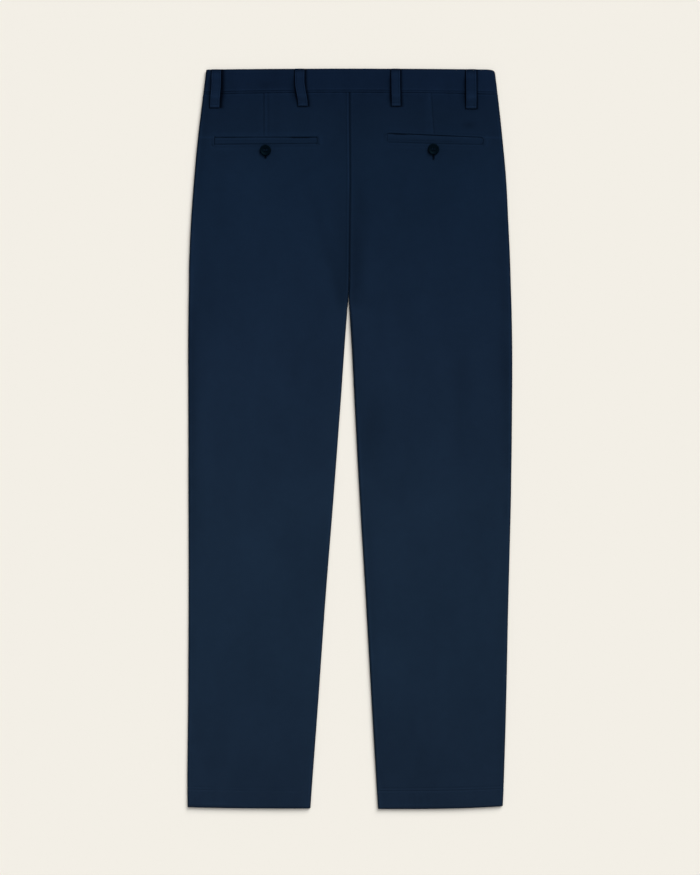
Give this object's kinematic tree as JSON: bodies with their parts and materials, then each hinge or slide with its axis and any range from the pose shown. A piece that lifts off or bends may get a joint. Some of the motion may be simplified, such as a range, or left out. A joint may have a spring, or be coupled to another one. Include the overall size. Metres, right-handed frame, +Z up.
{
  "type": "chino trousers",
  "caption": "Straight-leg chino trousers laid flat on their front, back up: waistband with belt loops, buttoned welt pockets, hemmed legs.",
  "frame": {"origin": "on the surface that the trousers lie on, below the middle of their bounding box", "axes": "+Y from the hems to the waist, +Z up out of the back panels, +X towards the wearer's right leg"},
  "size_m": [0.4611, 1.0514, 0.0135],
  "materials": {
    "twill": "matte navy cotton twill",
    "button": "dark horn-like satin",
    "zip_tape": "woven polyester tape",
    "zip_metal": "brushed antique brass"
  },
  "bodies": {
    "root": {"back_panel_left": "twill", "back_panel_right": "twill", "front_panel_left": "twill", "front_panel_right": "twill", "waistband_back": "twill", "waistband_front_left": "twill", "waistband_front_right": "twill", "belt_loop_back_side_left": "twill", "belt_loop_back_left": "twill", "belt_loop_back_right": "twill", "belt_loop_back_side_right": "twill", "belt_loop_front_left": "twill", "belt_loop_front_right": "twill", "back_pocket_welt_left": "twill", "back_pocket_welt_right": "twill", "front_pocket_piece_left": "twill", "front_pocket_piece_right": "twill", "hem_turn_back_left": "twill", "hem_turn_back_right": "twill", "hem_turn_front_left": "twill", "hem_turn_front_right": "twill", "back_pocket_button_left": "button", "back_pocket_button_right": "button", "waist_button": "button", "zip_tape": "zip_tape", "zip_slider": "zip_metal"}
  },
  "joints": []
}
